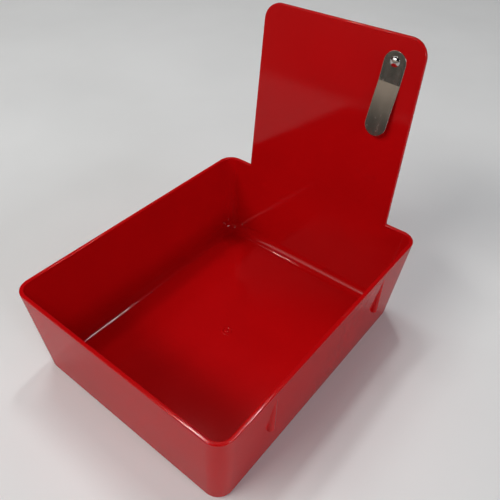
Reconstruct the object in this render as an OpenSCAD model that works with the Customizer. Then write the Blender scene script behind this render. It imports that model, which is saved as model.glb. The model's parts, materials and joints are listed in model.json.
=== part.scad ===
// Work pan with a tall card board and a riveted ticket clip.
// Millimetres. Origin: centre of the base on the surface it stands on.
// +Z is up, the card board stands at +Y, +X is to the right seen from the open front.

/* [Tray] */
// Width over the rim
rim_w = 200; // [120:1:320]
// Depth over the rim
rim_d = 245; // [150:1:360]
// Height from the base to the rim
tray_h = 82; // [50:1:140]
// How far each side wall draws in between rim and base
side_inset = 7; // [3:0.5:16]
// How far the front and back walls draw in between rim and base
end_inset = 6; // [3:0.5:14]
// Outer corner radius at the rim
rim_corner_r = 13; // [8:0.5:24]
// Outer corner radius at the base
base_corner_r = 12.5; // [6:0.5:20]
// Radius round the outside of the base edge
base_edge_r = 3.5; // [1:0.5:5]
// Wall and rim thickness
wall_t = 3.2; // [1.8:0.1:4]
// Floor thickness
floor_t = 2.6; // [1.8:0.1:4]
// Radius between the walls and the floor inside
floor_fillet_r = 10; // [4:0.5:14]

/* [Card board] */
// Width of the card board at the rim
board_w = 142.6; // [80:0.2:170]
// Width lost by the card board between the rim and its top edge
board_taper = 5; // [0:0.5:20]
// Height of the card board above the rim
board_rise = 148; // [80:1:200]
// Radius of the card board's top corners
board_corner_r = 14; // [4:0.5:30]

/* [Stacking lugs] */
// Distance of the lugs in front of and behind the middle
lug_y = 69; // [30:1:100]
// Height of the lugs' flat undersides
lug_foot_z = 38; // [15:1:55]
// How far a lug stands out at its foot
lug_proud = 3.1; // [1:0.1:4.5]
// Radius of a lug's upright round face
lug_r = 3.2; // [2:0.1:5]

/* [Gate mark] */
// Diameter of the moulding gate's flat witness disc
gate_d = 9; // [4:0.5:16]
// Height of the witness disc above the floor
gate_h = 0.3; // [0.2:0.1:0.8]
// Diameter of the clipped sprue nub in its middle
nub_d = 2.4; // [1:0.2:4]
// Height of the nub above the witness disc
nub_h = 0.4; // [0.2:0.1:1]

/* [Ticket clip] */
// Width of the clip's strip
clip_w = 17.2; // [10:0.2:24]
// Thickness of the clip's spring strip
strip_t = 0.5; // [0.3:0.1:1]
// Distance from the rivet up to the strip's end
rivet_to_end = 7.6; // [5.5:0.1:12]
// Distance from the rivet down to the crease
rivet_to_crease = 15.6; // [8:0.1:30]
// Length of the tongue below the crease, measured along the board
tongue_len = 40.6; // [25:0.1:70]
// How far the tongue's tip stands off the board
tongue_lift = 4.6; // [0:0.1:8]
// How far the tongue bows out between crease and tip
tongue_bow = 0.6; // [0.2:0.1:4]
// How far the clip is turned on its rivet at rest
clip_tilt = 3; // [-8:0.5:60]
// Rivet position to the right of the middle
rivet_x = 47.7; // [-55:0.1:55]
// Rivet position below the card board's top edge
rivet_drop = 18.3; // [12:0.1:60]

/* [Rivet and washer] */
// Diameter of the rivet's domed head
head_d = 7.6; // [5:0.1:12]
// Height of the domed head
head_h = 1.9; // [0.8:0.1:3]
// Diameter of the rivet's shank
shank_d = 4; // [2:0.1:5]
// Diameter of the clinched tail
tail_d = 6.4; // [5.2:0.1:9]
// Thickness of the clinched tail
tail_h = 1; // [0.5:0.1:2]
// Diameter of the hollow in the tail
tail_bore_d = 2.4; // [1:0.1:2.8]
// Depth of the hollow in the tail
tail_bore_depth = 2.6; // [1:0.1:4]
// Outside diameter of the back washer
washer_d = 10; // [7:0.5:16]
// Thickness of the back washer
washer_t = 0.8; // [0.5:0.1:2]

/* [Clearances] */
// Radial running clearance of the clip's bore on the rivet
swivel_clearance = 0.06; // [0.02:0.01:0.1]
// Gap between the clip and the card board, and under the rivet head
face_gap = 0.1; // [0.05:0.05:0.3]
// Gap across the crease between heel and tongue
crease_gap = 0.16; // [0.1:0.02:0.3]
// Radial clearance of the shank in the board and washer
shank_clearance = 0.05; // [0:0.01:0.2]

/* [Hidden] */
PAN_RED = [0.72, 0.03, 0.03];
STEEL = [0.62, 0.62, 0.6];
ROUND_FN = 96;       // pins, bores and discs
CORNER_FN = 48;      // corners of the tray
ARC_STEP = 7.5;      // degrees between points on a drawn arc
OVERCUT = 1;         // how far a cutter runs past what it cuts
SKIN = 0.01;         // thickness of the discs that a loft ends on
LEAST_R = 1;         // smallest corner radius inside

side_slope = side_inset / tray_h;
end_slope = end_inset / tray_h;
board_lean = atan(end_slope);
board_top_z = tray_h + board_rise;
loft_top_z = board_top_z + OVERCUT;
rivet_z = board_top_z - rivet_drop;
end_r = clip_w / 2;
heel_front = face_gap + strip_t;
head_seat = heel_front + face_gap;
tail_seat = wall_t * cos(board_lean) + washer_t;

// Half width, half depth and corner radius of the outside at height z.
function half_w(z) = rim_w / 2 - side_slope * (tray_h - z);
function half_d(z) = rim_d / 2 - end_slope * (tray_h - z);
function corner_r(z) = rim_corner_r - (rim_corner_r - base_corner_r) * (tray_h - z) / tray_h;

// Corner radius of the inside at height z: round at the floor, an even wall at the rim.
function inner_corner_r(z) =
    let (round_z = floor_t + floor_fillet_r, rim_r = rim_corner_r - wall_t)
    max(LEAST_R, floor_fillet_r + (rim_r - floor_fillet_r) * (z - round_z) / (tray_h - round_z));

// A round of radius r that touches a wall of this slope has its centre this far from it.
function reach(r, slope) = r * sqrt(1 + slope * slope);

// Points of an arc round (x, y) from angle a to angle b.
function arc(x, y, r, a, b) =
    let (steps = ceil(abs(b - a) / ARC_STEP))
    [for (i = [0:steps]) let (t = a + (b - a) * i / steps) [x + r * cos(t), y + r * sin(t)]];

// Places its children at the four corners of a rectangle round the Z axis.
module at_corners(x, y) {
    for (sx = [-1, 1], sy = [-1, 1])
        translate([sx * x, sy * y, 0])
            children();
}

// Outside of the tray, carried on upwards past the top of the card board.
module outer_loft() {
    tube_r = corner_r(0) - base_edge_r;
    top_r = corner_r(loft_top_z);
    hull() {
        at_corners(half_w(base_edge_r) - tube_r - reach(base_edge_r, side_slope),
                   half_d(base_edge_r) - tube_r - reach(base_edge_r, end_slope))
            rotate_extrude($fn = CORNER_FN)
                polygon(concat([[0, base_edge_r], [0, 0]],
                               arc(tube_r, base_edge_r, base_edge_r, -90, 0)));
        at_corners(half_w(loft_top_z) - top_r, half_d(loft_top_z) - top_r)
            translate([0, 0, loft_top_z - SKIN])
                cylinder(r = top_r, h = SKIN, $fn = CORNER_FN);
    }
}

// Inside of the tray, with the round floor edge, carried on upwards as far.
module inner_loft() {
    round_z = floor_t + floor_fillet_r;
    top_z = loft_top_z + OVERCUT;
    top_r = inner_corner_r(top_z);
    hull() {
        at_corners(half_w(round_z) - wall_t - reach(floor_fillet_r, side_slope),
                   half_d(round_z) - wall_t - reach(floor_fillet_r, end_slope))
            translate([0, 0, round_z])
                rotate_extrude($fn = CORNER_FN)
                    polygon(concat([[0, 0]], arc(0, 0, floor_fillet_r, -90, 0)));
        at_corners(half_w(top_z) - wall_t - top_r, half_d(top_z) - wall_t - top_r)
            translate([0, 0, top_z - SKIN])
                cylinder(r = top_r, h = SKIN, $fn = CORNER_FN);
    }
}

// Everything below the rim.
module below_rim() {
    translate([-rim_w, -rim_d, -OVERCUT])
        cube([2 * rim_w, 2 * rim_d, tray_h + OVERCUT]);
}

// A block with the card board's outline, from inside the tray to behind the board.
module board_block() {
    root = board_w / 2;
    tip = root - board_taper / 2;
    far_y = half_d(loft_top_z) + OVERCUT;
    translate([0, far_y, 0])
        rotate([90, 0, 0])
            linear_extrude(far_y - rim_d / 4)
                polygon(concat([[-root, tray_h - OVERCUT], [root, tray_h - OVERCUT]],
                               arc(tip - board_corner_r, board_top_z - board_corner_r,
                                   board_corner_r, 0, 90),
                               arc(board_corner_r - tip, board_top_z - board_corner_r,
                                   board_corner_r, 90, 180)));
}

// Upright round lugs that merge into the leaning side walls.
module stacking_lugs() {
    face_x = half_w(lug_foot_z) + lug_proud;
    merge_z = tray_h - (rim_w / 2 - face_x) / side_slope;
    at_corners(face_x - lug_r, lug_y)
        translate([0, 0, lug_foot_z])
            cylinder(r = lug_r, h = min(merge_z, tray_h) - lug_foot_z, $fn = ROUND_FN);
}

// Where the gate of the moulding was trimmed off.
module gate_mark() {
    translate([0, 0, floor_t / 2])
        cylinder(d = gate_d, h = floor_t / 2 + gate_h, $fn = ROUND_FN);
    translate([0, 0, floor_t])
        cylinder(d = nub_d, h = gate_h + nub_h, $fn = ROUND_FN);
}

// Moves its children to the rivet: X to the right, Y into the board, Z up along the board.
module at_rivet() {
    translate([rivet_x, half_d(rivet_z) - wall_t, rivet_z])
        rotate([-board_lean, 0, 0])
            children();
}

// The clip's own frame: as at_rivet, turned by its tilt on the rivet.
module at_clip() {
    at_rivet()
        rotate([0, clip_tilt, 0])
            children();
}

// A disc or pin along the rivet, from depth y0 to depth y1 into the board.
module along_rivet(d, y0, y1) {
    translate([0, y1, 0])
        rotate([90, 0, 0])
            cylinder(d = d, h = y1 - y0, $fn = ROUND_FN);
}

module pan() {
    color(PAN_RED) {
        difference() {
            union() {
                intersection() {
                    outer_loft();
                    union() {
                        below_rim();
                        board_block();
                    }
                }
                stacking_lugs();
            }
            inner_loft();
            at_rivet()
                along_rivet(shank_d + 2 * shank_clearance, -OVERCUT, wall_t + OVERCUT);
        }
        gate_mark();
    }
}

// Flat end of the clip under the rivet, down to the crease.
module clip_heel() {
    top = rivet_to_end - end_r;
    bottom = -rivet_to_crease + crease_gap / 2;
    color(STEEL)
        at_clip()
            translate([0, -face_gap, 0])
                rotate([90, 0, 0])
                    linear_extrude(strip_t)
                        difference() {
                            union() {
                                translate([-end_r, bottom])
                                    square([clip_w, top - bottom]);
                                translate([0, top])
                                    circle(r = end_r, $fn = ROUND_FN);
                            }
                            circle(d = shank_d + 2 * swivel_clearance, $fn = ROUND_FN);
                        }
}

// A tube of the strip's thickness with inner radius r.
module bowed_sheet(r, h) {
    difference() {
        cylinder(r = r + strip_t, h = h, $fn = 4 * ROUND_FN);
        translate([0, 0, -OVERCUT])
            cylinder(r = r, h = h + 2 * OVERCUT, $fn = 4 * ROUND_FN);
    }
}

// Slightly bowed tongue below the crease, whose round tip stands off the board.
module clip_tongue() {
    top = -rivet_to_crease - crease_gap / 2;
    tip = top - tongue_len;
    pitch = atan(tongue_lift / tongue_len);
    chord = tongue_len / cos(pitch);
    bow_r = chord * chord / (8 * tongue_bow) + tongue_bow / 2;
    color(STEEL)
        at_clip()
            intersection() {
                translate([-end_r - OVERCUT, -face_gap, top])
                    rotate([-pitch, 0, 0])
                        translate([0, bow_r - tongue_bow, -chord / 2])
                            rotate([0, 90, 0])
                                bowed_sheet(bow_r, clip_w + 2 * OVERCUT);
                rotate([90, 0, 0])
                    linear_extrude(tongue_lift + tongue_bow + strip_t + face_gap + OVERCUT)
                        union() {
                            translate([-end_r, tip + end_r])
                                square([clip_w, top - tip - end_r]);
                            translate([0, tip + end_r])
                                circle(r = end_r, $fn = ROUND_FN);
                        }
            }
}

// Domed head in front, shank through heel and board, clinched hollow tail behind.
module rivet() {
    dome_r = (head_d * head_d / 4 + head_h * head_h) / (2 * head_h);
    tail_end = tail_seat + tail_h;
    color(STEEL)
        at_rivet()
            difference() {
                union() {
                    intersection() {
                        translate([0, dome_r - head_h - head_seat, 0])
                            sphere(r = dome_r, $fn = ROUND_FN);
                        along_rivet(head_d + 2 * OVERCUT, -head_seat - head_h - OVERCUT, -head_seat);
                    }
                    along_rivet(shank_d, -head_seat - head_h / 2, tail_end - tail_h / 2);
                    along_rivet(tail_d, tail_seat, tail_end);
                }
                along_rivet(tail_bore_d, tail_end - tail_bore_depth, tail_end + OVERCUT);
            }
}

// Flat washer between the back of the board and the rivet's tail.
module back_washer() {
    color(STEEL)
        at_rivet()
            difference() {
                along_rivet(washer_d, tail_seat - washer_t, tail_seat);
                along_rivet(shank_d + 2 * shank_clearance, tail_seat - washer_t - OVERCUT,
                            tail_seat + OVERCUT);
            }
}

pan();
clip_heel();
clip_tongue();
rivet();
back_washer();
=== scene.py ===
"""Work pan with a riveted ticket clip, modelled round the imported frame."""
import json
import math

import bmesh
import bpy
from bpy.props import FloatProperty, FloatVectorProperty, PointerProperty
from mathutils import Matrix, Vector


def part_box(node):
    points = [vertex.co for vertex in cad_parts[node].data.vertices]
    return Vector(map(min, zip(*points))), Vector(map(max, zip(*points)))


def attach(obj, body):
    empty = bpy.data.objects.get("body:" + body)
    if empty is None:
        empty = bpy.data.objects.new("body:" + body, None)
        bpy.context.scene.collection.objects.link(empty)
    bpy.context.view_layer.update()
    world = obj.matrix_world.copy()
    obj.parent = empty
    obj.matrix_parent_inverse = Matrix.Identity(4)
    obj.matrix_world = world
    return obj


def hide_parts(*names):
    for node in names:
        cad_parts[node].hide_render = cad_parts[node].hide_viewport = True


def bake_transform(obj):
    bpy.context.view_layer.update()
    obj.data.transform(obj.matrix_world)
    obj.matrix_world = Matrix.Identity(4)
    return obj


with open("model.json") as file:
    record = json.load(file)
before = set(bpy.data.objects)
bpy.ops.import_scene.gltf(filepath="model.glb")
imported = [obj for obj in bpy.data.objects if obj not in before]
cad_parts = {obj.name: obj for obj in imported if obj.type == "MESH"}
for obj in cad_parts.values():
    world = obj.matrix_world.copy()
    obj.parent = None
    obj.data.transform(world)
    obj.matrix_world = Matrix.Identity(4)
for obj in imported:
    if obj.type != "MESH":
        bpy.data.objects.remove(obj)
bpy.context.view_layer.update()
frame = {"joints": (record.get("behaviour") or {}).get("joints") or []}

bl_info = {
    "name": "Work Pan Builder",
    "version": (1, 0, 0),
    "blender": (4, 5, 0),
    "location": "View3D > Sidebar > Work Pan",
    "description": "Builds a moulded work pan with a riveted ticket clip",
    "category": "Add Mesh",
}

JOINTS = {joint["name"]: joint for joint in frame["joints"]}
PAN_LOW, PAN_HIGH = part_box("pan")
RIM_WIDTH = PAN_HIGH[0] - PAN_LOW[0]
RIM_DEPTH = -2 * PAN_LOW[1]
BOARD_TOP = PAN_HIGH[2]

CORNER_STEPS = 12        # faces round one corner of the tray
SIDE_STEPS = 16          # faces along one straight wall
ROUND_STEPS = 8          # faces across a quarter round
EDGE_STEPS = 4           # faces across the small rounding of an edge
LATHE_STEPS = 72         # faces round the rivet and the washer
# Painted dimmer reflection: shiny surfaces see the table at this share of its colour.
MIRRORED_TABLE = 0.6     # share of the table's paleness that shiny surfaces mirror
SMOOTH_ANGLE = 30        # degrees up to which neighbouring faces shade as one


# ---------------------------------------------------------------- settings

def length(name, description, default):
    return FloatProperty(name=name, description=description, default=default,
                         unit="LENGTH", subtype="DISTANCE", precision=5)


def factor(name, description, default, high=1.0):
    return FloatProperty(name=name, description=description, default=default,
                         min=0.0, max=high, subtype="FACTOR")


def colour(name, description, default):
    return FloatVectorProperty(name=name, description=description, default=default,
                               size=3, min=0.0, max=1.0, subtype="COLOR")


class PanSettings(bpy.types.PropertyGroup):
    """Sizes and finish of the moulding."""

    tray_height: length("Tray Height", "Height from the base to the rim", 0.082)
    side_inset: length("Side Inset", "How far a side wall draws in below the rim", 0.007)
    end_inset: length("End Inset", "How far the front and back walls draw in", 0.006)
    rim_corner: length("Rim Corner", "Outer corner radius at the rim", 0.013)
    base_corner: length("Base Corner", "Outer corner radius at the base", 0.0125)
    base_edge: length("Base Edge", "Rounding of the outside of the base edge", 0.0035)
    wall: length("Wall", "Wall and rim thickness", 0.0032)
    floor: length("Floor", "Floor thickness", 0.0026)
    floor_fillet: length("Floor Fillet", "Radius between walls and floor inside", 0.010)
    edge_round: length("Edge Round", "Rounding of the rim's and board's edges", 0.0007)
    notch_round: length("Notch Round", "Radius in the notch between rim and board", 0.0009)
    board_width: length("Board Width", "Width of the card board at the rim", 0.1426)
    board_taper: length("Board Taper", "Width the board loses up to its top", 0.005)
    board_corner: length("Board Corner", "Radius of the board's top corners", 0.014)
    lug_offset: length("Lug Offset", "Distance of the lugs from the middle", 0.069)
    lug_foot: length("Lug Foot", "Height of the lugs' undersides", 0.038)
    lug_proud: length("Lug Proud", "How far a lug stands out at its foot", 0.0031)
    lug_radius: length("Lug Radius", "Radius of a lug's round face", 0.0032)
    gate_radius: length("Gate Radius", "Radius of the trimmed gate's disc", 0.0045)
    plastic: colour("Plastic", "Colour of the moulding", (0.50, 0.0022, 0.0035))
    roughness: factor("Roughness", "Roughness of the moulding's polish", 0.09)
    grain: factor("Grain", "Strength of the moulding's fine unevenness", 0.10)


class ClipSettings(bpy.types.PropertyGroup):
    """Sizes and finish of the clip, its rivet and its washer."""

    width: length("Strip Width", "Width of the clip's strip", 0.0172)
    strip: length("Strip Thickness", "Thickness of the spring strip", 0.0005)
    rivet_to_end: length("Rivet To End", "Distance from rivet to the strip's end", 0.0076)
    tongue: length("Tongue Length", "Length of the tongue along the board", 0.0406)
    lift: length("Lift", "How far the tongue's tip stands off the board", 0.0046)
    bow: length("Bow", "How far the tongue bows out between crease and tip", 0.0006)
    crown: length("Crown", "How far the strip's middle stands over its edges", 0.00022)
    crease: length("Crease Length", "Length over which the strip is creased", 0.0008)
    face_gap: length("Face Gap", "Gap between the strip and the board", 0.0001)
    head_radius: length("Head Radius", "Radius of the rivet's head", 0.0038)
    head_height: length("Head Height", "Height of the rivet's dome", 0.0019)
    shank_radius: length("Shank Radius", "Radius of the rivet's shank", 0.002)
    bore_radius: length("Bore Radius", "Radius of the strip's rivet hole", 0.00206)
    tail_radius: length("Tail Radius", "Radius of the clinched tail", 0.0032)
    tail_height: length("Tail Height", "Thickness of the clinched tail", 0.001)
    washer_radius: length("Washer Radius", "Outer radius of the back washer", 0.005)
    washer: length("Washer Thickness", "Thickness of the back washer", 0.0008)
    steel: colour("Steel", "Colour of the polished strip", (0.60, 0.59, 0.55))
    plating: colour("Plating", "Colour of the rivet and washer", (0.80, 0.79, 0.77))
    roughness: factor("Roughness", "Roughness of the polished strip", 0.16)


class StageSettings(bpy.types.PropertyGroup):
    """Table, lamps and camera."""

    table: colour("Table", "Colour of the table top", (0.83, 0.83, 0.825))
    ambient: FloatProperty(name="Ambient", description="Strength of the room light",
                           default=0.155, min=0.0)
    lens: FloatProperty(name="Lens", description="Focal length in millimetres",
                        default=39.79, min=1.0)


# ---------------------------------------------------------------- mesh helpers

def new_object(name, mesh_builder):
    """Makes an object from a bmesh, with its normals facing outwards."""
    bmesh.ops.recalc_face_normals(mesh_builder, faces=mesh_builder.faces)
    mesh = bpy.data.meshes.new(name)
    mesh_builder.to_mesh(mesh)
    mesh_builder.free()
    piece = bpy.data.objects.new(name, mesh)
    bpy.context.scene.collection.objects.link(piece)
    return piece


def bridge(builder, ring_a, ring_b, closed=True):
    """Joins two rings of as many vertices with quads, and skips shared ones."""
    count = len(ring_a)
    for i in range(count if closed else count - 1):
        j = (i + 1) % count
        corners = []
        for vertex in (ring_a[i], ring_a[j], ring_b[j], ring_b[i]):
            if vertex not in corners:
                corners.append(vertex)
        if len(corners) > 2:
            builder.faces.new(corners)


def add_ring(builder, points):
    return [builder.verts.new(point) for point in points]


def apply_modifiers(piece):
    """Bakes the modifiers into the mesh."""
    graph = bpy.context.evaluated_depsgraph_get()
    baked = bpy.data.meshes.new_from_object(piece.evaluated_get(graph))
    old = piece.data
    piece.modifiers.clear()
    piece.data = baked
    baked.name = old.name
    bpy.data.meshes.remove(old)


def boolean(piece, tool, operation):
    """Adds the tool to the piece or cuts it out, and removes the tool."""
    modifier = piece.modifiers.new("boolean", "BOOLEAN")
    modifier.operation = operation
    modifier.solver = "EXACT"
    modifier.object = tool
    apply_modifiers(piece)
    mesh = tool.data
    bpy.data.objects.remove(tool)
    bpy.data.meshes.remove(mesh)


def shade(piece, angle=SMOOTH_ANGLE):
    """Smooth shading with crisp edges and normals led by the large faces."""
    mesh = piece.data
    builder = bmesh.new()
    builder.from_mesh(mesh)
    limit = math.radians(angle)
    for face in builder.faces:
        face.smooth = True
    for edge in builder.edges:
        edge.smooth = len(edge.link_faces) == 2 and edge.calc_face_angle(0.0) < limit
        if len({face.material_index for face in edge.link_faces}) > 1:
            edge.smooth = False
    for face in builder.faces:
        face.material_index = 0
    builder.to_mesh(mesh)
    builder.free()
    while len(mesh.materials) > 1:
        mesh.materials.pop()
    weighted = piece.modifiers.new("weighted normals", "WEIGHTED_NORMAL")
    weighted.keep_sharp = True
    weighted.weight = 100
    apply_modifiers(piece)


def lathe(name, profile, place):
    """Turns a profile of (radius, depth) round the local Y axis of a placing matrix."""
    builder = bmesh.new()
    rings = []
    for radius, depth in profile:
        if radius == 0:
            pole = builder.verts.new(place @ Vector((0, depth, 0)))
            rings.append([pole] * LATHE_STEPS)
            continue
        turn = [2 * math.pi * i / LATHE_STEPS for i in range(LATHE_STEPS)]
        rings.append(add_ring(builder, [place @ Vector((radius * math.cos(t), depth,
                                                        radius * math.sin(t)))
                                        for t in turn]))
    closed = profile[0][0] > 0
    pairs = list(zip(rings, rings[1:]))
    if closed:
        pairs.append((rings[-1], rings[0]))
    for ring_a, ring_b in pairs:
        bridge(builder, ring_a, ring_b)
    return new_object(name, builder)


def arc_points(x, y, radius, start, stop, steps):
    """Points of an arc, angles in degrees."""
    angles = [math.radians(start + (stop - start) * i / steps) for i in range(steps + 1)]
    return [(x + radius * math.cos(a), y + radius * math.sin(a)) for a in angles]


# ---------------------------------------------------------------- the pan

class PanShape:
    """Works out every ring of the moulding from its sizes."""

    def __init__(self, look):
        self.look = look
        self.side_slope = look.side_inset / look.tray_height
        self.end_slope = look.end_inset / look.tray_height
        self.rim_z = look.tray_height - look.edge_round
        self.root_z = self.rim_z - 0.006
        root = look.board_width / 2
        rise = BOARD_TOP - look.tray_height
        self.taper = math.atan(look.board_taper / 2 / rise)
        self.notch_x = root + look.notch_round * (1 - math.sin(self.taper)) / math.cos(self.taper)
        lift = BOARD_TOP - look.board_corner - look.tray_height
        self.corner_x = root - ((look.board_corner + lift * math.sin(self.taper))
                                / math.cos(self.taper))

    def half_w(self, z):
        return RIM_WIDTH / 2 - self.side_slope * (self.look.tray_height - z)

    def half_d(self, z):
        return RIM_DEPTH / 2 - self.end_slope * (self.look.tray_height - z)

    def ring(self, half_w, half_d, radius, z):
        """Points of a rounded rectangle, with the board's columns in its back wall."""
        corners = [(1, 1, 0), (-1, 1, 90), (-1, -1, 180), (1, -1, 270)]
        points = []
        for k, (side_x, side_y, start) in enumerate(corners):
            points += arc_points(side_x * (half_w - radius), side_y * (half_d - radius),
                                 radius, start, start + 90, CORNER_STEPS)
            if k == 0:
                points += [(self.notch_x * (1 - 2 * i / SIDE_STEPS), half_d)
                           for i in range(SIDE_STEPS + 1)]
                continue
            last = points[-1]
            after = corners[(k + 1) % 4]
            angle = math.radians(after[2])
            following = (after[0] * (half_w - radius) + radius * math.cos(angle),
                         after[1] * (half_d - radius) + radius * math.sin(angle))
            for i in range(1, SIDE_STEPS):
                share = i / SIDE_STEPS
                points.append((last[0] + (following[0] - last[0]) * share,
                               last[1] + (following[1] - last[1]) * share))
        return [Vector((x, y, z)) for x, y in points]

    def board_columns(self):
        """Indices of the columns from one notch to the other."""
        first = CORNER_STEPS + 1
        return list(range(first, first + SIDE_STEPS + 1))

    def outer(self, z):
        look = self.look
        radius = look.rim_corner - ((look.rim_corner - look.base_corner)
                                    * (look.tray_height - z) / look.tray_height)
        return self.ring(self.half_w(z), self.half_d(z), radius, z)

    def base_edge(self, turn):
        """Ring on the rounded base edge; turn runs from -90 under it to 0 beside it."""
        look = self.look
        edge = look.base_edge
        reach = edge * math.cos(math.radians(turn))
        return self.ring(
            self.half_w(edge) - edge * math.hypot(1, self.side_slope) + reach,
            self.half_d(edge) - edge * math.hypot(1, self.end_slope) + reach,
            look.base_corner - edge + reach, edge + edge * math.sin(math.radians(turn)))

    def inner_radius(self, z):
        look = self.look
        start = look.floor + look.floor_fillet
        rim = look.rim_corner - look.wall
        bottom = look.floor_fillet + look.wall * 0.2
        return bottom + (rim - bottom) * (z - start) / (look.tray_height - start)

    def inner(self, z):
        wall = self.look.wall
        return self.ring(self.half_w(z) - wall, self.half_d(z) - wall,
                         self.inner_radius(z), z)

    def floor_round(self, turn):
        """Ring on the floor fillet; turn runs from 0 at the wall to 90 at the floor."""
        look = self.look
        fillet = look.floor_fillet
        z = look.floor + fillet
        reach = fillet * math.cos(math.radians(turn))
        return self.ring(
            self.half_w(z) - look.wall - fillet * math.hypot(1, self.side_slope) + reach,
            self.half_d(z) - look.wall - fillet * math.hypot(1, self.end_slope) + reach,
            self.inner_radius(z) - fillet + reach,
            z - fillet * math.sin(math.radians(turn)))

    def board_path(self):
        """The board's outline, drawn in by the edge rounding, with its outward normals.

        It runs from the notch at +X over the top to the notch at -X.
        """
        look = self.look
        edge = look.edge_round
        lean = math.degrees(self.taper)
        half = []
        for x, z in arc_points(0, 0, 1, -90, -180 + lean, ROUND_STEPS):
            reach = look.notch_round + edge
            half.append((self.notch_x + reach * x,
                         look.tray_height + look.notch_round + reach * z, -x, -z))
        side_low = half[-1]
        corner = []
        for x, z in arc_points(0, 0, 1, lean, 90, CORNER_STEPS):
            reach = look.board_corner - edge
            corner.append((self.corner_x + reach * x,
                           BOARD_TOP - look.board_corner + reach * z, x, z))
        for i in range(1, SIDE_STEPS):
            share = i / SIDE_STEPS
            half.append(tuple(a + (b - a) * share for a, b in zip(side_low, corner[0])))
        half += corner
        top_steps = SIDE_STEPS // 2
        top = [(corner[-1][0] * (1 - i / top_steps), corner[-1][1], 0.0, 1.0)
               for i in range(1, top_steps)]
        right = half + top
        middle = [(0.0, corner[-1][1], 0.0, 1.0)]
        left = [(-x, z, -nx, nz) for x, z, nx, nz in reversed(right)]
        return right + middle + left

    def board_point(self, x, z, depth):
        """A point of the board: depth 0 on its back face, 1 on its front face."""
        return Vector((x, self.half_d(z) - depth * self.look.wall, z))


def edge_profile(outer, inner, out, steps=EDGE_STEPS):
    """Points over an edge from its outer to its inner side; out is its height vector."""
    across = (inner - outer).normalized()
    radius = out.length
    points = []
    for i in range(1, steps + 1):
        turn = math.radians(90 * i / steps)
        points.append(outer + across * radius * (1 - math.cos(turn)) + out * math.sin(turn))
    for i in range(steps, 0, -1):
        turn = math.radians(90 * i / steps)
        points.append(inner - across * radius * (1 - math.cos(turn)) + out * math.sin(turn))
    return points


def gate_profile(look):
    """Radius and height of the rings of the trimmed gate in the floor's middle."""
    disc = look.gate_radius
    return [(disc + 0.0004, 0.0), (disc + 0.0001, 0.0001), (disc - 0.0001, 0.0003),
            (disc * 0.70, 0.0003), (disc * 0.60, -0.0001), (disc * 0.42, -0.0001),
            (disc * 0.32, 0.0003), (disc * 0.22, 0.0004)]


def pan_shell(look):
    """The whole moulding but its lugs, as one closed mesh."""
    shape = PanShape(look)
    builder = bmesh.new()
    columns = shape.board_columns()
    inside_board = set(columns[1:-1])

    # Underside, base edge and outer wall
    base = [add_ring(builder, shape.base_edge(-90 + 90 * i / ROUND_STEPS))
            for i in range(ROUND_STEPS + 1)]
    builder.faces.new(base[0])
    for ring_a, ring_b in zip(base, base[1:]):
        bridge(builder, ring_a, ring_b)
    outer_root = add_ring(builder, shape.outer(shape.root_z))
    bridge(builder, base[-1], outer_root)

    # Inner wall, floor fillet, floor and gate
    inner_root = add_ring(builder, shape.inner(shape.root_z))
    start = math.degrees(math.atan(shape.side_slope))
    previous = inner_root
    for i in range(ROUND_STEPS + 3):
        ring = add_ring(builder, shape.floor_round(start + (90 - start) * i / (ROUND_STEPS + 2)))
        bridge(builder, previous, ring)
        previous = ring
    around = [math.atan2(vertex.co.y, vertex.co.x) for vertex in previous]
    for radius, height in gate_profile(look):
        ring = add_ring(builder, [(radius * math.cos(a), radius * math.sin(a),
                                   look.floor + height) for a in around])
        bridge(builder, previous, ring)
        previous = ring
    builder.faces.new(previous)

    # Walls up to the rim, left open where the board stands
    def rim_ring(points):
        return [None if i in inside_board else builder.verts.new(point)
                for i, point in enumerate(points)]

    outer_rim = rim_ring(shape.outer(shape.rim_z))
    inner_rim = rim_ring(shape.inner(shape.rim_z))
    rim_top = shape.outer(look.tray_height)
    count = len(outer_rim)
    for low, high in ((outer_root, outer_rim), (inner_root, inner_rim)):
        for i in range(count):
            j = (i + 1) % count
            if high[i] is None or high[j] is None:
                continue
            builder.faces.new((low[i], low[j], high[j], high[i]))

    # One path over the rim and round the board, with a rounded edge swept along it
    path = []
    order = list(range(columns[-1], count)) + list(range(columns[0] + 1))
    for i in order:
        path.append((outer_rim[i], inner_rim[i], rim_top[i] - outer_rim[i].co))
    board_back, board_front = [], []
    outline = shape.board_path()
    for x, z, normal_x, normal_z in outline[1:-1]:
        back = builder.verts.new(shape.board_point(x, z, 0))
        front = builder.verts.new(shape.board_point(x, z, 1))
        out = Vector((normal_x, shape.end_slope * normal_z, normal_z)) * look.edge_round
        path.append((back, front, out))
        board_back.append(back)
        board_front.append(front)
    strips = []
    for outer, inner, out in path:
        between = add_ring(builder, edge_profile(outer.co.copy(), inner.co.copy(), out))
        strips.append([outer] + between + [inner])
    for strip_a, strip_b in zip(strips, strips[1:] + strips[:1]):
        bridge(builder, strip_a, strip_b, closed=False)

    # Flat faces of the board
    for root, rim, edge in ((outer_root, outer_rim, board_back),
                            (inner_root, inner_rim, board_front)):
        low = [root[i] for i in reversed(columns)]
        builder.faces.new([rim[columns[0]]] + edge + [rim[columns[-1]]] + low)
    return new_object("pan_moulding", builder)


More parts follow.
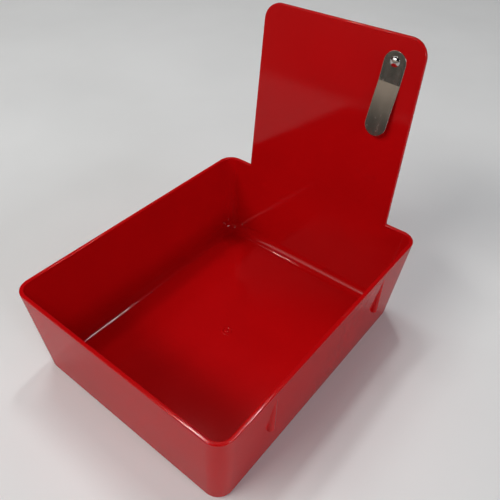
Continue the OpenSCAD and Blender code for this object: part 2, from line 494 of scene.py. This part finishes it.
def lug(look, side_x, side_y):
    """One upright round lug that merges into the leaning wall."""
    shape = PanShape(look)
    face_x = shape.half_w(look.lug_foot) + look.lug_proud
    merge_z = look.tray_height - (RIM_WIDTH / 2 - face_x) / shape.side_slope
    soft = 0.0006
    heights = [(look.lug_foot, soft), (look.lug_foot + soft * 0.3, soft * 0.3),
               (look.lug_foot + soft, 0.0)]
    steps = 10
    heights += [(look.lug_foot + soft + (merge_z + soft - look.lug_foot - soft) * i / steps, 0.0)
                for i in range(1, steps + 1)]
    builder = bmesh.new()
    previous = None
    for z, inset in heights:
        radius = look.lug_radius - inset
        back = shape.half_w(z) - look.wall / 2
        axis_x = face_x - look.lug_radius
        outline = [(max(x, back), y) for x, y in arc_points(axis_x, 0, radius, -90, 90, 24)]
        outline += [(back, radius), (back, -radius)]
        ring = add_ring(builder, [(side_x * x, side_y * look.lug_offset + y, z)
                                  for x, y in outline])
        if previous is None:
            builder.faces.new(ring)
        else:
            bridge(builder, previous, ring)
        previous = ring
    builder.faces.new(previous)
    bmesh.ops.remove_doubles(builder, verts=builder.verts, dist=1e-7)
    return new_object("lug", builder)


# ---------------------------------------------------------------- clip and rivet

def rivet_frame():
    """Placing matrix at the rivet: X across the clip, Y into the board, Z up the clip."""
    swivel, flex = JOINTS["clip_swivel"], JOINTS["tongue_flex"]
    into = -Vector(swivel["axis"]).normalized()
    across = -Vector(flex["axis"]).normalized()
    up = across.cross(into).normalized()
    matrix = Matrix((across, into, up)).transposed().to_4x4()
    matrix.translation = Vector(swivel["pos_m"])
    return matrix


def crease_distance():
    """How far the crease lies below the rivet along the clip."""
    place = rivet_frame()
    return -(place.inverted() @ Vector(JOINTS["tongue_flex"]["pos_m"])).z


class StripShape:
    """The bent centre line of the clip's strip, in the rivet's frame."""

    def __init__(self, look):
        self.look = look
        self.heel = look.rivet_to_end + crease_distance()
        chord = math.hypot(look.tongue, look.lift)
        radius = chord ** 2 / (8 * look.bow) + look.bow / 2
        self.pitch = math.atan2(look.lift, look.tongue)
        self.bend = math.asin(chord / 2 / radius)
        self.total = self.heel + 2 * radius * self.bend
        self.step = 0.0001
        self.line = self.walk()

    def angle(self, s):
        """Angle between the strip and the board at a distance s from its top end."""
        half = self.look.crease / 2
        if s < self.heel - half:
            return 0.0
        if s < self.heel + half:
            share = (s - self.heel + half) / (2 * half)
            return (self.pitch + self.bend) * share * share * (3 - 2 * share)
        share = (s - self.heel - half) / (self.total - self.heel - half)
        return self.pitch + self.bend * (1 - 2 * min(share, 1.0))

    def walk(self):
        look = self.look
        y, z = -(look.face_gap + look.strip / 2), look.rivet_to_end
        line = [(y, z)]
        for i in range(int(self.total / self.step) + 2):
            turn = self.angle((i + 0.5) * self.step)
            y -= math.sin(turn) * self.step
            z -= math.cos(turn) * self.step
            line.append((y, z))
        return line

    def point(self, x, s, height):
        """A point at x across and s along the strip, height above its middle layer."""
        i = min(max(int(s / self.step), 0), len(self.line) - 2)
        share = s / self.step - i
        (y0, z0), (y1, z1) = self.line[i], self.line[i + 1]
        turn = self.angle(min(max(s, 0.0), self.total))
        across = min(abs(x) / (self.look.width / 2), 1.0)
        lift = height + self.look.crown * (1 - across * across)
        return Vector((x, y0 + (y1 - y0) * share - math.cos(turn) * lift,
                       z0 + (z1 - z0) * share + math.sin(turn) * lift))


def strip_stations(shape, edge):
    """Distances along the strip at which it gets a row of faces."""
    end = shape.look.width / 2 - edge
    crease = shape.look.crease
    rows = [edge + end * (1 - math.cos(math.radians(90 * i / 14))) for i in range(15)]
    flat_end = shape.heel - crease
    flat = [rows[-1] + (flat_end - rows[-1]) * i / 8 for i in range(1, 9)]
    fold = [flat_end + 2 * crease * i / 10 for i in range(1, 11)]
    tail_start = shape.total - edge - end
    tongue = [fold[-1] + (tail_start - fold[-1]) * i / 24 for i in range(1, 25)]
    tail = [shape.total - s for s in reversed(rows[:-1])]
    return rows + flat + fold + tongue + tail


def clip_strip(look):
    """The whole clip: one creased and bowed strip with round ends and rounded edges."""
    shape = StripShape(look)
    place = rivet_frame()
    edge = look.strip / 2
    end = look.width / 2 - edge
    columns = 20
    builder = bmesh.new()
    front, back, rim_right, rim_left = [], [], [], []
    stations = strip_stations(shape, edge)
    for k, s in enumerate(stations):
        beyond = max(edge + end - s, s - (shape.total - edge - end), 0.0)
        half = math.sqrt(max(end * end - beyond * beyond, 0.0))
        along = beyond / end * (-1 if s < shape.total / 2 else 1)
        pole = k in (0, len(stations) - 1)
        if pole:
            half = 0.0
        normal = (half / end if beyond > 0 else 1.0, along)
        for rows, height in ((front, edge), (back, -edge)):
            if pole:
                vertex = builder.verts.new(place @ shape.point(0, s, height))
                rows.append([vertex] * (columns + 1))
            else:
                rows.append(add_ring(builder, [
                    place @ shape.point(half * (2 * i / columns - 1), s, height)
                    for i in range(columns + 1)]))
        rim_right.append((half, s, normal, front[-1][-1], back[-1][-1]))
        rim_left.append((-half, s, (-normal[0], normal[1]), front[-1][0], back[-1][0]))
    for rows in (front, back):
        for row_a, row_b in zip(rows, rows[1:]):
            bridge(builder, row_a, row_b, closed=False)
    loop = rim_right + rim_left[-2:0:-1]
    edges = []
    for x, s, (out_x, out_s), top, bottom in loop:
        ring = [top]
        for i in range(1, 6):
            turn = math.radians(180 * i / 6)
            out, height = edge * math.sin(turn), edge * math.cos(turn)
            ring.append(builder.verts.new(
                place @ shape.point(x + out_x * out, s + out_s * out, height)))
        edges.append(ring + [bottom])
    for ring_a, ring_b in zip(edges, edges[1:] + edges[:1]):
        bridge(builder, ring_a, ring_b, closed=False)
    return new_object("ticket_clip", builder)


def bore_tool(radius, low, high):
    """A plain round cutter along the rivet."""
    place = rivet_frame()
    tool = lathe("cutter", [(0, low), (radius, low), (radius, high), (0, high)], place)
    return tool


def seats(look, wall, lean):
    """Depths along the rivet of the head's seat, the washer's faces and the tail's end."""
    head = -(2 * look.face_gap + look.strip)
    washer_front = wall * math.cos(lean)
    tail = washer_front + look.washer
    return head, washer_front, tail, tail + look.tail_height


def rivet_profile(look, head, tail, tail_end):
    """Half section of the rivet from the dome's top to the hollow of its tail."""
    dome = (look.head_radius ** 2 + look.head_height ** 2) / (2 * look.head_height)
    top = head - look.head_height
    brim = 0.0003
    reach = math.asin((look.head_radius - brim * 0.6) / dome)
    profile = [(dome * math.sin(reach * i / 16), top + dome * (1 - math.cos(reach * i / 16)))
               for i in range(17)]
    profile[0] = (0, top)
    low = profile[-1][1]
    for turn in (30, 60, 90):
        profile.append((look.head_radius - brim * 0.6 + brim * 0.6 * math.sin(math.radians(turn)),
                        low + (head - low) * 0.7 * (1 - math.cos(math.radians(turn)))))
    profile += [(look.head_radius - brim * 0.1, head - (head - low) * 0.12),
                (look.head_radius - brim * 0.5, head),
                (look.shank_radius, head), (look.shank_radius, tail)]
    swell = (tail_end - tail) / 2
    centre = look.tail_radius - swell
    for x, y in arc_points(0, 0, 1, -90, 150, 12):
        profile.append((centre + swell * x, tail + swell + swell * y))
    profile += [(look.shank_radius * 0.62, tail_end - swell * 0.9),
                (look.shank_radius * 0.6, tail_end - 0.0024),
                (look.shank_radius * 0.4, tail_end - 0.0026), (0, tail_end - 0.0026)]
    return profile


def washer_profile(look, front, back):
    """Section of the washer, rounded where it was blanked."""
    soft = 0.00015
    inner, outer = look.shank_radius + 0.00005, look.washer_radius
    return [(inner, front + soft), (inner + soft, front), (outer - soft, front),
            (outer - soft * 0.3, front + soft * 0.3), (outer, front + soft),
            (outer, back - soft * 2), (outer - soft * 0.6, back - soft * 0.6),
            (outer - soft * 2, back), (inner + soft, back), (inner, back - soft)]


# ---------------------------------------------------------------- materials

def group_input(tree, name, kind, default):
    socket = tree.interface.new_socket(name=name, in_out="INPUT", socket_type=kind)
    socket.default_value = default


def moulded_grain_group():
    """Fine unevenness of moulded plastic: height, cloudiness and handling marks."""
    tree = bpy.data.node_groups.new("Moulded Grain", "ShaderNodeTree")
    group_input(tree, "Grain Scale", "NodeSocketFloat", 900.0)
    group_input(tree, "Ripple Scale", "NodeSocketFloat", 22.0)
    group_input(tree, "Ripple Share", "NodeSocketFloat", 0.5)
    for name in ("Height", "Cloud", "Marks"):
        tree.interface.new_socket(name=name, in_out="OUTPUT", socket_type="NodeSocketFloat")
    nodes, links = tree.nodes, tree.links
    entry, leave = nodes.new("NodeGroupInput"), nodes.new("NodeGroupOutput")
    where = nodes.new("ShaderNodeTexCoord")

    def noise(scale, detail, source=None):
        node = nodes.new("ShaderNodeTexNoise")
        node.inputs["Detail"].default_value = detail
        links.new(source or where.outputs["Object"], node.inputs["Vector"])
        if isinstance(scale, str):
            links.new(entry.outputs[scale], node.inputs["Scale"])
        else:
            node.inputs["Scale"].default_value = scale
        return node.outputs["Fac"]

    def maths(operation, first, second, clamp=False):
        node = nodes.new("ShaderNodeMath")
        node.operation = operation
        node.use_clamp = clamp
        for socket, value in zip(node.inputs, (first, second)):
            if isinstance(value, (int, float)):
                socket.default_value = value
            else:
                links.new(value, socket)
        return node.outputs[0]

    grain = noise("Grain Scale", 3.0)
    ripple = noise("Ripple Scale", 1.0)
    uneven = maths("MULTIPLY", ripple, entry.outputs["Ripple Share"])
    links.new(maths("ADD", grain, uneven), leave.inputs["Height"])
    links.new(noise(14.0, 4.0), leave.inputs["Cloud"])
    stretched = nodes.new("ShaderNodeMapping")
    stretched.inputs["Rotation"].default_value = (0.4, 0.3, 0.9)
    stretched.inputs["Scale"].default_value = (1.0, 26.0, 1.0)
    links.new(where.outputs["Object"], stretched.inputs["Vector"])
    lines = noise(30.0, 6.0, stretched.outputs["Vector"])
    patches = noise(9.0, 2.0)
    thin = maths("MULTIPLY", maths("SUBTRACT", lines, 0.66, True), 9.0, True)
    some = maths("MULTIPLY", maths("SUBTRACT", patches, 0.5, True), 5.0, True)
    links.new(maths("MULTIPLY", thin, some), leave.inputs["Marks"])
    return tree


def brushed_group():
    """Fine polishing lines along the strip and soft waves of its rolled surface."""
    tree = bpy.data.node_groups.new("Rolled Steel", "ShaderNodeTree")
    group_input(tree, "Line Scale", "NodeSocketFloat", 260.0)
    group_input(tree, "Stretch", "NodeSocketFloat", 0.04)
    for name in ("Lines", "Waves", "Scuffs"):
        tree.interface.new_socket(name=name, in_out="OUTPUT", socket_type="NodeSocketFloat")
    nodes, links = tree.nodes, tree.links
    entry, leave = nodes.new("NodeGroupInput"), nodes.new("NodeGroupOutput")
    where = nodes.new("ShaderNodeTexCoord")
    scale = nodes.new("ShaderNodeCombineXYZ")
    scale.inputs["X"].default_value = 1.0
    scale.inputs["Y"].default_value = 1.0
    links.new(entry.outputs["Stretch"], scale.inputs["Z"])
    stretched = nodes.new("ShaderNodeMapping")
    stretched.vector_type = "POINT"
    links.new(where.outputs["Object"], stretched.inputs["Vector"])
    links.new(scale.outputs["Vector"], stretched.inputs["Scale"])
    lines = nodes.new("ShaderNodeTexNoise")
    lines.inputs["Detail"].default_value = 6.0
    links.new(stretched.outputs["Vector"], lines.inputs["Vector"])
    links.new(entry.outputs["Line Scale"], lines.inputs["Scale"])
    links.new(lines.outputs["Fac"], leave.inputs["Lines"])
    waves = nodes.new("ShaderNodeTexNoise")
    waves.inputs["Scale"].default_value = 70.0
    waves.inputs["Detail"].default_value = 1.0
    links.new(where.outputs["Object"], waves.inputs["Vector"])
    links.new(waves.outputs["Fac"], leave.inputs["Waves"])
    scuffs = nodes.new("ShaderNodeTexNoise")
    scuffs.inputs["Scale"].default_value = 420.0
    scuffs.inputs["Detail"].default_value = 8.0
    links.new(where.outputs["Object"], scuffs.inputs["Vector"])
    links.new(scuffs.outputs["Fac"], leave.inputs["Scuffs"])
    return tree


def shared_group(name, maker):
    return bpy.data.node_groups.get(name) or maker()


def start_material(name):
    material = bpy.data.materials.new(name)
    material.use_nodes = True
    nodes = material.node_tree.nodes
    return material, nodes, material.node_tree.links, nodes["Principled BSDF"]


def spread(nodes, links, source, low, high, start=0.0, stop=1.0):
    """Maps a mask from start..stop to low..high."""
    node = nodes.new("ShaderNodeMapRange")
    node.inputs["From Min"].default_value = start
    node.inputs["From Max"].default_value = stop
    node.inputs["To Min"].default_value = low
    node.inputs["To Max"].default_value = high
    links.new(source, node.inputs["Value"])
    return node.outputs["Result"]


def blend_colour(nodes, links, mask, first, second):
    node = nodes.new("ShaderNodeMix")
    node.data_type = "RGBA"
    links.new(mask, node.inputs["Factor"])
    node.inputs["A"].default_value = (*first, 1.0)
    node.inputs["B"].default_value = (*second, 1.0)
    return node.outputs["Result"]


def plastic_material(look):
    """Semi-gloss moulded plastic with faint mould ripple, cloud and handling marks."""
    material, nodes, links, shader = start_material("pan_plastic")
    grain = nodes.new("ShaderNodeGroup")
    grain.node_tree = shared_group("Moulded Grain", moulded_grain_group)
    base = Vector(look.plastic)
    cloud = spread(nodes, links, grain.outputs["Cloud"], 0.0, 1.0, 0.3, 0.7)
    links.new(blend_colour(nodes, links, cloud, base * 0.94, base * 1.05),
              shader.inputs["Base Color"])
    rough = nodes.new("ShaderNodeMath")
    rough.operation = "ADD"
    links.new(spread(nodes, links, grain.outputs["Cloud"], look.roughness * 0.9,
                     look.roughness * 1.12, 0.3, 0.7), rough.inputs[0])
    links.new(spread(nodes, links, grain.outputs["Marks"], 0.0, 0.14), rough.inputs[1])
    links.new(rough.outputs[0], shader.inputs["Roughness"])
    bump = nodes.new("ShaderNodeBump")
    bump.inputs["Strength"].default_value = look.grain
    bump.inputs["Distance"].default_value = 0.0001
    links.new(grain.outputs["Height"], bump.inputs["Height"])
    links.new(bump.outputs["Normal"], shader.inputs["Normal"])
    shader.inputs["IOR"].default_value = 1.34
    return material


def steel_material(name, tint, roughness, stretch):
    """Polished steel with fine lines, soft waves and a few scuffs."""
    material, nodes, links, shader = start_material(name)
    rolled = nodes.new("ShaderNodeGroup")
    rolled.node_tree = shared_group("Rolled Steel", brushed_group)
    rolled.inputs["Stretch"].default_value = stretch
    tint = Vector(tint)
    waves = spread(nodes, links, rolled.outputs["Waves"], 0.0, 1.0, 0.3, 0.7)
    links.new(blend_colour(nodes, links, waves, tint * 0.9, tint * 1.06),
              shader.inputs["Base Color"])
    rough = nodes.new("ShaderNodeMath")
    rough.operation = "ADD"
    links.new(spread(nodes, links, rolled.outputs["Lines"], roughness * 0.75,
                     roughness * 1.3, 0.3, 0.7), rough.inputs[0])
    links.new(spread(nodes, links, rolled.outputs["Scuffs"], 0.0, 0.12, 0.55, 0.75),
              rough.inputs[1])
    links.new(rough.outputs[0], shader.inputs["Roughness"])
    bump = nodes.new("ShaderNodeBump")
    bump.inputs["Strength"].default_value = 0.12
    bump.inputs["Distance"].default_value = 0.00004
    links.new(rolled.outputs["Lines"], bump.inputs["Height"])
    links.new(bump.outputs["Normal"], shader.inputs["Normal"])
    shader.inputs["Metallic"].default_value = 1.0
    return material


def table_material(tint):
    """Pale matt table top with a faint mottling; shiny surfaces see it painted dimmer, a painted
    dimmer reflection.
    """
    material, nodes, links, shader = start_material("table_top")
    mottle = nodes.new("ShaderNodeTexNoise")
    mottle.inputs["Scale"].default_value = 5.0
    mottle.inputs["Detail"].default_value = 3.0
    where = nodes.new("ShaderNodeTexCoord")
    links.new(where.outputs["Object"], mottle.inputs["Vector"])
    tint = Vector(tint)
    soft = spread(nodes, links, mottle.outputs["Fac"], 0.0, 1.0, 0.35, 0.65)
    # Painted dimmer reflection: glossy rays see the table at MIRRORED_TABLE of its colour.
    path = nodes.new("ShaderNodeLightPath")
    seen = nodes.new("ShaderNodeMix")
    seen.data_type = "RGBA"
    links.new(path.outputs["Is Glossy Ray"], seen.inputs["Factor"])
    links.new(blend_colour(nodes, links, soft, tint * 0.98, tint * 1.02), seen.inputs["A"])
    seen.inputs["B"].default_value = (*(tint * MIRRORED_TABLE), 1.0)
    links.new(seen.outputs["Result"], shader.inputs["Base Color"])
    shader.inputs["Roughness"].default_value = 0.6
    shader.inputs["IOR"].default_value = 1.45
    return material


# ---------------------------------------------------------------- operators

class WORKPAN_OT_pan(bpy.types.Operator):
    """Build the moulded tray with its card board and stacking lugs."""

    bl_idname = "workpan.pan"
    bl_label = "Pan Moulding"

    def execute(self, context):
        look = context.scene.work_pan
        clip = context.scene.work_pan_clip
        pan = pan_shell(look)
        plastic = plastic_material(look)
        for _ in range(2):
            pan.data.materials.append(plastic)
        for side_x in (-1, 1):
            for side_y in (-1, 1):
                tool = lug(look, side_x, side_y)
                for _ in range(2):
                    tool.data.materials.append(plastic)
                for face in tool.data.polygons:
                    face.material_index = 1
                boolean(pan, tool, "UNION")
        hole = clip.shank_radius + 0.00005
        boolean(pan, bore_tool(hole, -look.wall, 2 * look.wall), "DIFFERENCE")
        shade(pan)
        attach(pan, "pan")
        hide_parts("pan")
        return {"FINISHED"}


class WORKPAN_OT_clip(bpy.types.Operator):
    """Build the creased spring clip with the hole for its rivet."""

    bl_idname = "workpan.clip"
    bl_label = "Ticket Clip"

    def execute(self, context):
        look = context.scene.work_pan_clip
        strip = clip_strip(look)
        cutter = bore_tool(look.bore_radius, -4 * look.strip, 4 * look.strip)
        boolean(strip, cutter, "DIFFERENCE")
        strip.data.materials.append(
            steel_material("spring_steel", look.steel, look.roughness, 0.04))
        shade(strip)
        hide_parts("clip_heel", "clip_tongue")
        place = rivet_frame()
        crease = crease_distance()
        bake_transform(strip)
        return {"FINISHED"}


class WORKPAN_OT_rivet(bpy.types.Operator):
    """Build the domed rivet with its clinched tail and the washer behind the board."""

    bl_idname = "workpan.rivet"
    bl_label = "Rivet and Washer"

    def execute(self, context):
        look = context.scene.work_pan_clip
        pan = context.scene.work_pan
        lean = math.atan(pan.end_inset / pan.tray_height)
        head, washer_front, tail, tail_end = seats(look, pan.wall, lean)
        place = rivet_frame()
        plated = steel_material("rivet_steel", look.plating, look.roughness * 0.7, 1.0)
        rivet = lathe("rivet_body", rivet_profile(look, head, tail, tail_end), place)
        washer = lathe("washer_disc", washer_profile(look, washer_front, tail), place)
        for piece, node in ((rivet, "rivet"), (washer, "back_washer")):
            piece.data.materials.append(plated)
            shade(piece, 40)
            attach(piece, "pan")
            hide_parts(node)
        return {"FINISHED"}


def aim(thing, place, target):
    thing.location = place
    thing.rotation_mode = "QUATERNION"
    thing.rotation_quaternion = (Vector(target) - Vector(place)).to_track_quat("-Z", "Y")


def area_lamp(name, place, target, width, height, power, tint=(1.0, 1.0, 1.0)):
    lamp = bpy.data.lights.new(name, "AREA")
    lamp.shape = "RECTANGLE"
    lamp.size, lamp.size_y = width, height
    lamp.energy = power
    lamp.color = tint
    holder = bpy.data.objects.new(name, lamp)
    bpy.context.scene.collection.objects.link(holder)
    aim(holder, place, target)
    return holder


def room_world(strength):
    """Even pale room light; shiny surfaces see a dim room instead, paler towards +Y."""
    world = bpy.data.worlds.new("room")
    world.use_nodes = True
    nodes, links = world.node_tree.nodes, world.node_tree.links
    where = nodes.new("ShaderNodeTexCoord")
    parts = nodes.new("ShaderNodeSeparateXYZ")
    links.new(where.outputs["Generated"], parts.inputs["Vector"])
    low = spread(nodes, links, parts.outputs["Z"], 1.0, 0.0, 0.05, 0.5)
    back = spread(nodes, links, parts.outputs["Y"], 0.0, 1.0, 0.0, 0.6)
    wall = nodes.new("ShaderNodeMath")
    wall.operation = "MULTIPLY"
    links.new(low, wall.inputs[0])
    links.new(back, wall.inputs[1])
    seen = blend_colour(nodes, links, wall.outputs[0], ROOM_DIM, ROOM_PALE)
    path = nodes.new("ShaderNodeLightPath")
    mix = nodes.new("ShaderNodeMix")
    mix.data_type = "RGBA"
    links.new(path.outputs["Is Glossy Ray"], mix.inputs["Factor"])
    mix.inputs["A"].default_value = (*ROOM_PALE, 1.0)
    links.new(seen, mix.inputs["B"])
    sky = nodes["Background"]
    links.new(mix.outputs["Result"], sky.inputs["Color"])
    sky.inputs["Strength"].default_value = strength
    return world


def mirror_card(name, corners):
    """A glowing card that only shiny surfaces see; returns its nodes, links and shader."""
    builder = bmesh.new()
    builder.faces.new(add_ring(builder, corners))
    card = new_object(name, builder)
    material, nodes, links, shader = start_material(name)
    shader.inputs["Base Color"].default_value = (0.0, 0.0, 0.0, 1.0)
    shader.inputs["Roughness"].default_value = 1.0
    shader.inputs["Emission Strength"].default_value = 1.0
    card.data.materials.append(material)
    card.visible_camera = False
    card.visible_diffuse = False
    card.visible_shadow = False
    return nodes, links, shader


def painted_front_reflection():
    """Painted reflection of the unlit front of the room, on a glowing card that only shiny
    surfaces see: dark low down, paler higher up and to the left.
    """
    nodes, links, shader = mirror_card("painted_front_reflection", [
        (-1.3, -0.36, 0.002), (0.9, -0.36, 0.002), (0.9, -0.62, 0.42), (-1.3, -0.62, 0.42)])
    where = nodes.new("ShaderNodeTexCoord")
    parts = nodes.new("ShaderNodeSeparateXYZ")
    links.new(where.outputs["Object"], parts.inputs["Vector"])
    high = spread(nodes, links, parts.outputs["Z"], 0.0, 1.0, 0.07, 0.22)
    left = spread(nodes, links, parts.outputs["X"], 0.7, 0.0, -0.60, -0.32)
    pale = nodes.new("ShaderNodeMath")
    pale.operation = "MAXIMUM"
    links.new(high, pale.inputs[0])
    links.new(left, pale.inputs[1])
    links.new(blend_colour(nodes, links, pale.outputs[0], FRONT_DIM, FRONT_PALE),
              shader.inputs["Emission Color"])


def window_glow():
    """Painted reflection of the pale wall round the window, on a glowing card that only shiny
    surfaces see, which the rivet's dome mirrors.
    """
    nodes, links, shader = mirror_card("window_glow", [
        (-2.1, -0.7, 0.9), (-0.5, -1.7, 0.9), (-0.4, -1.3, 1.9), (-1.8, -0.4, 1.9)])
    shader.inputs["Emission Color"].default_value = (*WINDOW_GLOW, 1.0)


class WORKPAN_OT_stage(bpy.types.Operator):
    """Lay the pale table, hang the lamps and set the camera."""

    bl_idname = "workpan.stage"
    bl_label = "Table, Lamps and Camera"

    def execute(self, context):
        stage = context.scene.work_pan_stage
        scene = context.scene
        builder = bmesh.new()
        reach = 4.0
        corners = [(-reach, -reach, 0), (reach, -reach, 0), (reach, reach, 0), (-reach, reach, 0)]
        builder.faces.new(add_ring(builder, corners))
        table = new_object("table_top", builder)
        table.data.materials.append(table_material(stage.table))

        scene.world = room_world(stage.ambient)
        middle = (0.0, 0.0, 0.06)
        # Glowing cards that paint reflections of the room's front and of the wall round the
        # window.
        painted_front_reflection()
        window_glow()
        area_lamp("strip_lamp", (-0.84, 0.42, 2.0), middle, 0.50, 0.04, 6.5)
        area_lamp("side_lamp", (-0.40, 0.76, 2.0), middle, 0.07, 0.34, 6.0)
        area_lamp("window", (-0.75, -1.73, 1.80), middle, 1.6, 0.5, 31.0, (1.0, 0.985, 0.95))
        area_lamp("room_fill", (2.2, -0.25, 0.90), middle, 0.9, 0.5, 18.0, (0.90, 0.94, 1.0))

        lens = bpy.data.cameras.new("camera")
        lens.lens = stage.lens
        lens.sensor_width = 36.0
        lens.shift_x = CAMERA_SHIFT[0]
        lens.shift_y = CAMERA_SHIFT[1]
        lens.dof.use_dof = False
        lens.clip_start = 0.01
        camera = bpy.data.objects.new("camera", lens)
        scene.collection.objects.link(camera)
        forward = Vector(CAMERA_FORWARD).normalized()
        up = Vector(CAMERA_UP)
        right = forward.cross(up).normalized()
        up = right.cross(forward)
        turn = Matrix((right, up, -forward)).transposed()
        camera.matrix_world = Matrix.Translation(CAMERA_PLACE) @ turn.to_4x4()
        scene.camera = camera
        scene.view_settings.view_transform = "Standard"
        return {"FINISHED"}


ROOM_PALE = (0.95, 0.97, 1.0)
ROOM_DIM = (0.06, 0.06, 0.07)
# Colours of the painted reflection of the room's front.
FRONT_DIM = (0.055, 0.050, 0.044)
FRONT_PALE = (0.36, 0.29, 0.24)
# Colour of the painted reflection of the wall round the window.
WINDOW_GLOW = (1.1, 1.08, 1.05)
CAMERA_PLACE = (0.2033, -0.2388, 0.3659)
CAMERA_FORWARD = (-0.48053, 0.58474, -0.65358)
CAMERA_UP = (-0.42146, 0.49957, 0.75683)
CAMERA_SHIFT = (0.0326, -0.0019)


class WORKPAN_PT_panel(bpy.types.Panel):
    """Lists the steps of the work pan."""

    bl_idname = "WORKPAN_PT_panel"
    bl_label = "Work Pan"
    bl_space_type = "VIEW_3D"
    bl_region_type = "UI"
    bl_category = "Work Pan"

    def draw(self, context):
        layout = self.layout
        for owner, groups in (("work_pan", PanSettings), ("work_pan_clip", ClipSettings),
                              ("work_pan_stage", StageSettings)):
            box = layout.box()
            settings = getattr(context.scene, owner)
            for name in groups.__annotations__:
                box.prop(settings, name)
        for operator in OPERATORS:
            layout.operator(operator.bl_idname)


OPERATORS = (WORKPAN_OT_pan, WORKPAN_OT_clip, WORKPAN_OT_rivet, WORKPAN_OT_stage)
CLASSES = (PanSettings, ClipSettings, StageSettings) + OPERATORS + (WORKPAN_PT_panel,)


def register():
    for cls in CLASSES:
        bpy.utils.register_class(cls)
    bpy.types.Scene.work_pan = PointerProperty(type=PanSettings)
    bpy.types.Scene.work_pan_clip = PointerProperty(type=ClipSettings)
    bpy.types.Scene.work_pan_stage = PointerProperty(type=StageSettings)


def unregister():
    del bpy.types.Scene.work_pan_stage
    del bpy.types.Scene.work_pan_clip
    del bpy.types.Scene.work_pan
    for cls in reversed(CLASSES):
        bpy.utils.unregister_class(cls)


def main():
    register()
    bpy.ops.workpan.pan()
    bpy.ops.workpan.clip()
    bpy.ops.workpan.rivet()
    bpy.ops.workpan.stage()


if __name__ == "__main__":
    main()
